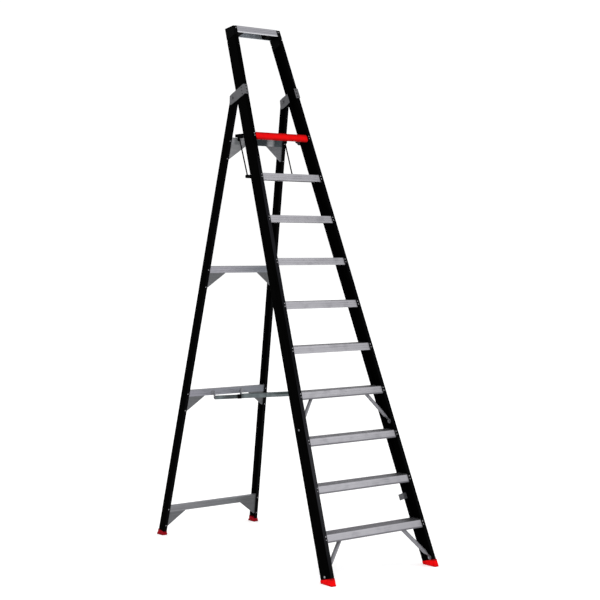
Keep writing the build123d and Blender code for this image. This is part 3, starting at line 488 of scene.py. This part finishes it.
# Handrail: the same extruded aluminium, with a painted highlight along its lower edge.
# The face is a middle grey with die lines, the edge a bright painted highlight and the rear skirt lighter
# with painted light.
rail_low, rail_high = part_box("top_handrail")
face_low = rail_high[2] - (tread_high[2] - tread_low[2])
highlight_full = 0.004
highlight_end = 0.008
face_depth = 0.03
skirt_back = 0.07
handrail_aluminium, tree, shader = new_finish("handrail_aluminium_painted_light")
place = add(tree, "ShaderNodeTexCoord")
lines = add(tree, "ShaderNodeMapping", {"Vector": place.outputs["Object"], "Scale": (2.5, 330, 330)})
line = add(tree, "ShaderNodeTexNoise", {"Vector": lines.outputs["Vector"], "Scale": 1.0, "Detail": 3.0})
metal = {"Fac": line.outputs["Fac"]}
metal = add(tree, "ShaderNodeValToRGB", metal, stops=[(0.3, "#85858a"), (0.7, "#a3a2a8")])
level = add(tree, "ShaderNodeSeparateXYZ", {"Vector": place.outputs["Object"]})
edge = {"From Min": face_low + highlight_full, "From Max": face_low + highlight_end, "To Min": 1.0, "To Max": 0.0}
edge = add(tree, "ShaderNodeMapRange", {"Value": level.outputs["Z"], **edge})
facing = {0: place.outputs["Normal"], 1: front_out}
facing = add(tree, "ShaderNodeVectorMath", facing, operation="DOT_PRODUCT")
forward = add(tree, "ShaderNodeMath", {0: facing.outputs["Value"], 1: 0.5}, operation="GREATER_THAN")
ahead = {0: level.outputs["Y"], 1: rail_low[1] + face_depth}
ahead = add(tree, "ShaderNodeMath", ahead, operation="LESS_THAN")
painted_sheen = {0: forward.outputs["Value"], 1: ahead.outputs["Value"]}
painted_sheen = add(tree, "ShaderNodeMath", painted_sheen, operation="MULTIPLY")
painted_sheen = {0: painted_sheen.outputs["Value"], 1: edge.outputs["Result"]}
painted_sheen = add(tree, "ShaderNodeMath", painted_sheen, operation="MULTIPLY")
# A painted highlight along the lower edge of the front face
highlighted = {"Factor": painted_sheen.outputs["Value"], 6: metal.outputs["Color"], 7: linear("#d2d2d5")}
highlighted = add(tree, "ShaderNodeMix", highlighted, data_type="RGBA")
# Painted light on the inside of the rear skirt, lighter than the face to lift its shade
behind = {0: level.outputs["Y"], 1: rail_low[1] + skirt_back}
behind = add(tree, "ShaderNodeMath", behind, operation="GREATER_THAN")
skirt_painted_light = {"Fac": line.outputs["Fac"]}
skirt_painted_light = add(tree, "ShaderNodeValToRGB", skirt_painted_light, stops=[(0.3, "#a5abb1"), (0.7, "#bbc1c7")])
skirt_lit = {"Factor": behind.outputs["Value"], 6: highlighted.outputs[2], 7: skirt_painted_light.outputs["Color"]}
skirt_lit = add(tree, "ShaderNodeMix", skirt_lit, data_type="RGBA")
tree.links.new(skirt_lit.outputs[2], shader.inputs["Base Color"])
gloss = add(tree, "ShaderNodeMapRange", {"Value": line.outputs["Fac"], "To Min": 0.4, "To Max": 0.55})
tree.links.new(gloss.outputs["Result"], shader.inputs["Roughness"])
shader.inputs["Metallic"].default_value = 0.7
dress(handrail_aluminium, "top_handrail")


# Black mouldings and painted black steel: handrail corners, platform deck and sides, levers, link rods.
# A fine even grain kills the shine.
black_moulding, tree, shader = new_finish("grained_black_plastic")
place = add(tree, "ShaderNodeTexCoord")
# The mould's grain is about 1.5 mm
pits = add(tree, "ShaderNodeTexNoise", {"Vector": place.outputs["Object"], "Scale": 700.0, "Detail": 2.0})
black = {"Fac": pits.outputs["Fac"]}
black = add(tree, "ShaderNodeValToRGB", black, stops=[(0.3, "#020202"), (0.7, "#070708")])
tree.links.new(black.outputs["Color"], shader.inputs["Base Color"])
relief = add(tree, "ShaderNodeBump", {"Height": pits.outputs["Fac"], "Strength": 0.2, "Distance": 0.0003})
tree.links.new(relief.outputs["Normal"], shader.inputs["Normal"])
shader.inputs["Roughness"].default_value = 0.55
shader.inputs["Specular IOR Level"].default_value = 0.008
dress(
    black_moulding,
    "left_handrail_corner", "right_handrail_corner", "platform_deck", "platform_sides",
    "left_lever", "right_lever", "left_link_rod", "right_link_rod",
)


# Hinge brackets: pressed steel saddles round the stiles with an inner cheek, riveted on and bolted
# at the hinge. The zinc is dark and dull, and the rivets are darker still. The small brackets and pins
# of the platform, levers and spreaders have the same plating, and so has the transport clip.
dark_zinc, tree, shader = new_finish("dark_zinc_steel")
place = add(tree, "ShaderNodeTexCoord")
spangle = add(tree, "ShaderNodeTexVoronoi", {"Vector": place.outputs["Object"], "Scale": 90.0})
grain = add(tree, "ShaderNodeTexNoise", {"Vector": place.outputs["Object"], "Scale": 60.0, "Detail": 4.0})
blotch = {0: spangle.outputs["Distance"], 1: grain.outputs["Fac"]}
blotch = add(tree, "ShaderNodeMath", blotch, operation="ADD")
zinc = {"Fac": blotch.outputs["Value"]}
zinc = add(tree, "ShaderNodeValToRGB", zinc, stops=[(0.4, "#3d3d3f"), (1.0, "#505053")])
tree.links.new(zinc.outputs["Color"], shader.inputs["Base Color"])
shader.inputs["Metallic"].default_value = 0.35
gloss = add(tree, "ShaderNodeMapRange", {"Value": grain.outputs["Fac"], "To Min": 0.48, "To Max": 0.68})
tree.links.new(gloss.outputs["Result"], shader.inputs["Roughness"])
dress(
    dark_zinc,
    "left_hinge_bracket", "right_hinge_bracket", "left_hinge_cheek", "right_hinge_cheek", "hinge_bolts",
    "platform_hinge_brackets", "platform_pivots", "lever_brackets", "lever_pins", "transport_clip",
    "spreader_forks", "spreader_fork_pins", "spreader_hook_pins",
)

black_rivet, tree, shader = new_finish("blackened_steel_rivets")
place = add(tree, "ShaderNodeTexCoord")
dull = add(tree, "ShaderNodeTexNoise", {"Vector": place.outputs["Object"], "Scale": 120.0, "Detail": 3.0})
oxide = {"Fac": dull.outputs["Fac"]}
oxide = add(tree, "ShaderNodeValToRGB", oxide, stops=[(0.3, "#0c0c0d"), (0.7, "#1a1a1c")])
tree.links.new(oxide.outputs["Color"], shader.inputs["Base Color"])
shader.inputs["Roughness"].default_value = 0.6
shader.inputs["Specular IOR Level"].default_value = 0.1

joints = frame["record"]["behaviour"]["joints"]
hinge = next(joint["pos_m"] for joint in joints if joint["name"] == "rear_fold")
hinge_along = (hinge[1] - front_y) * math.sin(front_lean) + hinge[2] * math.cos(front_lean)
saddle_plate = 0.0032
web_back = 0.030
flange_off = -0.002
rivet_rows = (0.023, -0.002, -0.027)
bracket_rivet_radius = 0.006
bracket_rivet_height = 0.0022
bracket_places = []
for side in (-1, 1):
    web_out = Vector((
        side * math.cos(stile_taper),
        math.sin(stile_taper) * math.sin(front_lean),
        math.sin(stile_taper) * math.cos(front_lean),
    ))
    for row in rivet_rows:
        along = hinge_along + row
        bracket_places.append((on_front(side, stile_half + saddle_plate, web_back, along), web_out))
        bracket_places.append((on_front(side, flange_off, -saddle_plate, along), front_out))
set_rivets(
    "bracket_rivets", "front_frame", bracket_places, bracket_rivet_radius, bracket_rivet_height, black_rivet
)


# Rear rails and gussets: extruded aluminium bars between the legs and pressed aluminium corner plates.
# They are duller than the treads, with faint rolling marks. The front faces carry painted shade that differs
# from rail to rail and grows darker towards the right-hand leg, and the top rail's carries the painted
# shadow of the platform, with painted highlights in three places.
rail_left = -0.4
rail_right = 0.3
painted_highlight = "#a7a8ab"
half_shade = "#6e7173"
painted_shadow = "#353d42"
# Painted light and shade along each front face, from the left leg to the right
rail_painted_shading = {
    "rolled_aluminium_top": (
        (0.24, painted_highlight), (0.29, half_shade), (0.33, half_shade), (0.37, painted_highlight), (0.43, half_shade),
        (0.57, painted_shadow), (0.69, painted_shadow), (0.73, painted_highlight), (0.77, painted_highlight), (0.81, painted_shadow),
    ),
    "rolled_aluminium_second": ((0.4, "#9d9ca4"), (0.86, "#74777e")),
    "rolled_aluminium_third": ((0.05, "#93929b"), (1.0, "#777b82")),
    "rolled_aluminium_low": ((0.0, "#808084"), (0.85, "#6e7073"), (1.0, "#58595b")),
    "pressed_aluminium_top": ((0.25, "#8d8e90"), (0.85, "#646569")),
    "pressed_aluminium": ((0.0, "#646568"), (1.0, "#565759")),
}
rail_members = {
    "rolled_aluminium_top": ("rear_rail_1",),
    "rolled_aluminium_second": ("rear_rail_2",),
    "rolled_aluminium_third": ("rear_rail_3",),
    "rolled_aluminium_low": ("rear_rail_4",),
    "pressed_aluminium_top": ("gussets_1",),
    "pressed_aluminium": ("gussets_2", "gussets_3", "gussets_4"),
}
for name, tones in rail_painted_shading.items():
    rolled, tree, shader = new_finish(name)
    place = add(tree, "ShaderNodeTexCoord")
    # Rolling marks are hair-thin: drawn 5 mm apart and 0.25 m long so that they show
    marks = add(tree, "ShaderNodeMapping", {"Vector": place.outputs["Object"], "Scale": (4, 200, 200)})
    mark = add(tree, "ShaderNodeTexNoise", {"Vector": marks.outputs["Vector"], "Scale": 1.0, "Detail": 3.0})
    across = add(tree, "ShaderNodeSeparateXYZ", {"Vector": place.outputs["Object"]})
    along = {"Value": across.outputs["X"], "From Min": rail_left, "From Max": rail_right}
    along = add(tree, "ShaderNodeMapRange", along)
    metal = add(tree, "ShaderNodeValToRGB", {"Fac": along.outputs["Result"]}, stops=tones)
    facing = {0: place.outputs["Normal"], 1: rear_out}
    facing = add(tree, "ShaderNodeVectorMath", facing, operation="DOT_PRODUCT")
    front_face = {"Value": facing.outputs["Value"], "From Min": 0.4, "From Max": 0.7}
    front_face = add(tree, "ShaderNodeMapRange", front_face)
    faces = {"Factor": front_face.outputs["Result"], 6: linear("#828388"), 7: metal.outputs["Color"]}
    faces = add(tree, "ShaderNodeMix", faces, data_type="RGBA")
    rolled_in = {"Fac": mark.outputs["Fac"]}
    rolled_in = add(tree, "ShaderNodeValToRGB", rolled_in, stops=[(0.3, "#d8d8d8"), (0.7, "#ffffff")])
    marked = {"Factor": 1.0, 6: faces.outputs[2], 7: rolled_in.outputs["Color"]}
    marked = add(tree, "ShaderNodeMix", marked, data_type="RGBA", blend_type="MULTIPLY")
    tree.links.new(marked.outputs[2], shader.inputs["Base Color"])
    shader.inputs["Metallic"].default_value = 0.55
    gloss = add(tree, "ShaderNodeMapRange", {"Value": mark.outputs["Fac"], "To Min": 0.45, "To Max": 0.62})
    tree.links.new(gloss.outputs["Result"], shader.inputs["Roughness"])
    dress(rolled, *rail_members[name])

leg_taper = math.radians(3.435)
leg_half_depth = 0.0355
leg_drops = (0.024, 0.155)
rear_places = []
for i in range(1, 5):
    rail_top = (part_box("rear_rail_%d" % i)[1][2] - hinge[2]) / math.cos(rear_lean)
    for drop in leg_drops:
        along = rail_top - drop
        x = foot_x - hinge_along * math.tan(stile_taper) - along * math.tan(leg_taper)
        y = hinge[1] - leg_half_depth * math.cos(rear_lean) - along * math.sin(rear_lean)
        z = hinge[2] - leg_half_depth * math.sin(rear_lean) + along * math.cos(rear_lean)
        rear_places += [(Vector((side * x, y, z)), rear_out) for side in (-1, 1)]
set_rivets("leg_rivets", "rear_frame", rear_places, rivet_radius, rivet_height, bright_zinc)


# Platform nose: a hard red moulding on the front edge of the platform.
# It is smooth and bright along the middle, with painted shade towards its upper and lower edges, as on a
# rounded bar.
red_plastic, tree, shader = new_finish("red_hard_plastic")
place = add(tree, "ShaderNodeTexCoord")
cloud = add(tree, "ShaderNodeTexNoise", {"Vector": place.outputs["Object"], "Scale": 25.0, "Detail": 3.0})
nose_low, nose_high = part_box("platform_nose")
level = add(tree, "ShaderNodeSeparateXYZ", {"Vector": place.outputs["Object"]})
height = {"Value": level.outputs["Z"], "From Min": nose_low[2], "From Max": nose_high[2]}
height = add(tree, "ShaderNodeMapRange", height)
# Painted shade towards the upper and lower edges
nose_painted_shading = ((0.0, "#7d0304"), (0.4, "#d00507"), (0.65, "#d00507"), (1.0, "#8e0304"))
shaded_bands = add(tree, "ShaderNodeValToRGB", {"Fac": height.outputs["Result"]}, stops=nose_painted_shading)
cloudy = {"Fac": cloud.outputs["Fac"]}
cloudy = add(tree, "ShaderNodeValToRGB", cloudy, stops=[(0.35, "#f0f0f0"), (0.65, "#ffffff")])
body = {"Factor": 1.0, 6: shaded_bands.outputs["Color"], 7: cloudy.outputs["Color"]}
body = add(tree, "ShaderNodeMix", body, data_type="RGBA", blend_type="MULTIPLY")
tree.links.new(body.outputs[2], shader.inputs["Base Color"])
shader.inputs["Roughness"].default_value = 0.4
shader.inputs["Specular IOR Level"].default_value = 0.03
dress(red_plastic, "platform_nose")


# Spreader bars: flat steel with a bluish grey paint, hung at the back from plain zinc hooks.
# The paint is semi-matt and rubbed in places. The rear halves are darker round their catches, and the upper
# part of the front halves and the upper edges carry painted shade.
fork_low, fork_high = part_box("spreader_fork_pins")
hook_low, hook_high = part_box("spreader_hook_pins")
fork_y, fork_z = [(fork_low[i] + fork_high[i]) / 2 for i in (1, 2)]
hook_y, hook_z = [(hook_low[i] + hook_high[i]) / 2 for i in (1, 2)]
bar_fall = (fork_z - hook_z) / (hook_y - fork_y)
bar_paint, tree, shader = new_finish("bluish_grey_paint")
place = add(tree, "ShaderNodeTexCoord")
rub = add(tree, "ShaderNodeTexNoise", {"Vector": place.outputs["Object"], "Scale": 18.0, "Detail": 4.0})
coat = {"Fac": rub.outputs["Fac"]}
coat = add(tree, "ShaderNodeValToRGB", coat, stops=[(0.3, "#4c5456"), (0.7, "#5f6769")])
level = add(tree, "ShaderNodeSeparateXYZ", {"Vector": place.outputs["Object"]})
# The rear halves are darker round their catches
darker_zone_front = 0.3
darker_zone_rear = 0.8
back = {"Value": level.outputs["Y"], "From Min": darker_zone_front, "From Max": darker_zone_rear}
back = add(tree, "ShaderNodeMapRange", back)
zone_plain = "#ffffff"
zone_half = "#aeaeae"
zone_full = "#686868"
zone_tones = (
    (0.16, zone_plain), (0.27, zone_full), (0.35, zone_full), (0.39, zone_half), (0.62, zone_half), (0.78, zone_plain),
)
zone_ramp = add(tree, "ShaderNodeValToRGB", {"Fac": back.outputs["Result"]}, stops=zone_tones)
zoned = {"Factor": 1.0, 6: coat.outputs["Color"], 7: zone_ramp.outputs["Color"]}
zoned = add(tree, "ShaderNodeMix", zoned, data_type="RGBA", blend_type="MULTIPLY")
# Painted shade along the upper part of the front halves and on the upward faces
over_bar = {0: level.outputs["Y"], 1: bar_fall, 2: level.outputs["Z"]}
over_bar = add(tree, "ShaderNodeMath", over_bar, operation="MULTIPLY_ADD")
bar_middle = fork_z + bar_fall * fork_y
shade_band_low = bar_middle + 0.001
shade_band_high = bar_middle + 0.005
upper_band_shade = {"Value": over_bar.outputs["Value"], "From Min": shade_band_low, "From Max": shade_band_high}
upper_band_shade = add(tree, "ShaderNodeMapRange", upper_band_shade)
ahead_start = 0.12
ahead_full = -0.06
ahead = {"Value": level.outputs["Y"], "From Min": ahead_start, "From Max": ahead_full}
ahead = add(tree, "ShaderNodeMapRange", ahead)
upper_band_shade = {0: upper_band_shade.outputs["Result"], 1: ahead.outputs["Result"]}
upper_band_shade = add(tree, "ShaderNodeMath", upper_band_shade, operation="MULTIPLY")
way = add(tree, "ShaderNodeSeparateXYZ", {"Vector": place.outputs["Normal"]})
upper = add(tree, "ShaderNodeMapRange", {"Value": way.outputs["Z"], "From Min": 0.5, "From Max": 0.9})
dark = {0: upper_band_shade.outputs["Value"], 1: upper.outputs["Result"]}
dark = add(tree, "ShaderNodeMath", dark, operation="MAXIMUM")
shaded = {"Factor": dark.outputs["Value"], 6: zoned.outputs[2], 7: linear("#1d2927")}
shaded = add(tree, "ShaderNodeMix", shaded, data_type="RGBA")
tree.links.new(shaded.outputs[2], shader.inputs["Base Color"])
gloss = add(tree, "ShaderNodeMapRange", {"Value": rub.outputs["Fac"], "To Min": 0.45, "To Max": 0.6})
tree.links.new(gloss.outputs["Result"], shader.inputs["Roughness"])
shader.inputs["Specular IOR Level"].default_value = 0.15
dress(bar_paint, *[s + "_spreader_" + e for s in ("left", "right") for e in ("front", "rear")])
dress(dull_zinc, "spreader_hooks")


# Spreader catches: black plastic clips pushed over the outer face of each rear half, with lips round
# its edges. They have the grained black of the other mouldings.
bar_half = 0.015
bar_wall = 0.004
bar_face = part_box("right_spreader_rear")[0][0]
clip_play = 0.0001
clip_wall = 0.002
clip_half = 0.023
clip_y = 0.446
clip_edge = 0.0005
run = Vector((0.0, 1.0, -bar_fall)).normalized()
rise = Vector((0.0, bar_fall, 1.0)).normalized()
middle = Vector((0.0, clip_y, bar_middle - bar_fall * clip_y))
lip_x = bar_face + 2 * clip_play
seat_x = bar_face + bar_wall + clip_play
seat = bar_half + clip_play
profile = (
    (lip_x, seat), (lip_x, seat + clip_wall), (seat_x + clip_wall, seat + clip_wall),
    (seat_x + clip_wall, -seat - clip_wall), (lip_x, -seat - clip_wall), (lip_x, -seat),
    (seat_x, -seat), (seat_x, seat),
)
for side, hand in ((-1, "left"), (1, "right")):
    form = bmesh.new()
    ends = []
    for along in (-clip_half, clip_half):
        ends.append([
            form.verts.new(middle + run * along + rise * height + Vector((side * x, 0.0, 0.0)))
            for x, height in profile
        ])
    for k in range(len(profile)):
        form.faces.new((ends[0][k], ends[0][k - 1], ends[1][k - 1], ends[1][k]))
    for end in ends:
        form.faces.new(end)
    bmesh.ops.recalc_face_normals(form, faces=form.faces)
    bmesh.ops.bevel(form, geom=form.edges[:], offset=clip_edge, segments=2, profile=0.5, affect="EDGES")
    clip_mesh = bpy.data.meshes.new(hand + "_spreader_catch")
    form.to_mesh(clip_mesh)
    form.free()
    clip_mesh.materials.append(black_moulding)
    clip = bpy.data.objects.new(hand + "_spreader_catch", clip_mesh)
    bpy.context.scene.collection.objects.link(clip)
    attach(clip, hand + "_spreader_rear")
